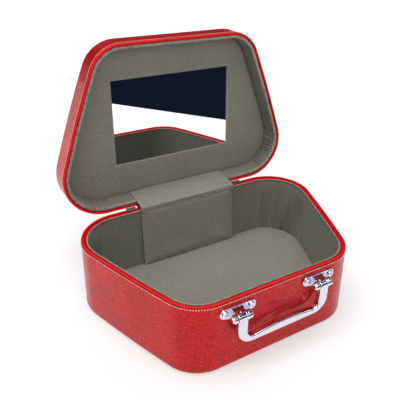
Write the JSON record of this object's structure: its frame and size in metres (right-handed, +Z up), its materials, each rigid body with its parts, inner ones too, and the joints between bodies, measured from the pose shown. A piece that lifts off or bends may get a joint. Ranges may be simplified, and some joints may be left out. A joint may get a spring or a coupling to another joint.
{
  "type": "zip-round vanity jewellery case",
  "caption": "Trapezium-plan zip-round case in glossy leather-look with a lined well, a mirror in its hinged lid and a swinging metal carrying handle.",
  "frame": {"origin": "middle of the underside, on the surface that the case stands on", "axes": "+X to the right seen from the handle, +Y from the handle face towards the hinge, +Z up"},
  "size_m": [0.267, 0.2299, 0.2522],
  "materials": {
    "red_glitter_leather": "glossy clear-coated leather-look with fine glitter",
    "suede_lining": "short-pile olive-grey suede over thin foam",
    "greyboard": "plain grey pulp board, hidden inside the walls",
    "foam": "thin open foam, hidden under the covers",
    "zip_tape": "tightly woven red tape",
    "zip_teeth": "moulded red coil teeth",
    "zip_metal": "bright nickel plate",
    "chrome_hardware": "polished chrome plate",
    "steel": "plain zinc-plated steel, hidden inside the wall",
    "mirror": "silvered glass"
  },
  "bodies": {
    "base": {"base_side_cover": "red_glitter_leather", "base_bottom_cover": "red_glitter_leather", "base_side_board": "greyboard", "base_bottom_board": "greyboard", "base_side_lining": "suede_lining", "base_floor_pad": "suede_lining", "base_zip_tape": "zip_tape", "base_zip_coil": "zip_teeth", "base_zip_stops": "zip_metal", "stay_panel": "suede_lining", "stay_bridge": "suede_lining", "hinge_strip": "red_glitter_leather", "left_handle_bracket": "chrome_hardware", "right_handle_bracket": "chrome_hardware", "left_pivot_pin": "chrome_hardware", "right_pivot_pin": "chrome_hardware", "bracket_screws": "chrome_hardware", "bracket_nuts": "steel", "left_backing_plate": "steel", "right_backing_plate": "steel"},
    "lid": {"lid_side_cover": "red_glitter_leather", "lid_top_cover": "red_glitter_leather", "lid_top_pad": "foam", "lid_side_board": "greyboard", "lid_top_board": "greyboard", "lid_side_lining": "suede_lining", "lid_inner_panel": "suede_lining", "mirror_glass": "mirror", "mirror_spacer": "foam", "lid_zip_tape": "zip_tape", "lid_zip_coil": "zip_teeth", "lid_zip_stops": "zip_metal", "stay_lid_flap": "suede_lining"},
    "handle": {"carrying_handle": "chrome_hardware"},
    "left_slider": {"left_zip_slider": "zip_metal"},
    "right_slider": {"right_zip_slider": "zip_metal"},
    "left_pull": {"left_pull_tab": "zip_metal"},
    "right_pull": {"right_pull_tab": "zip_metal"}
  },
  "joints": [
    {"name": "lid_hinge", "type": "hinge", "parent": "base", "child": "lid", "pos_m": [0, 0.0907, 0.0723], "axis": [1, 0, 0], "range_deg": [0, 91.5], "deforming": ["stay_bridge", "hinge_strip"]},
    {"name": "handle_swing", "type": "hinge", "parent": "base", "child": "handle", "pos_m": [0, -0.098, 0.0597], "axis": [-1, 0, 0], "range_deg": [0, 175]},
    {"name": "left_slider_travel", "type": "slide", "parent": "base", "child": "left_slider", "axis": [-1, 0, 0], "range_m": [0, 0.013]},
    {"name": "right_slider_travel", "type": "slide", "parent": "base", "child": "right_slider", "axis": [1, 0, 0], "range_m": [0, 0.013]},
    {"name": "left_pull_swing", "type": "hinge", "parent": "left_slider", "child": "left_pull", "pos_m": [-0.0666, 0.09365, 0.0701], "axis": [1, 0, 0], "range_deg": [0, 80]},
    {"name": "right_pull_swing", "type": "hinge", "parent": "right_slider", "child": "right_pull", "pos_m": [0.0666, 0.09365, 0.0701], "axis": [1, 0, 0], "range_deg": [0, 80]}
  ]
}
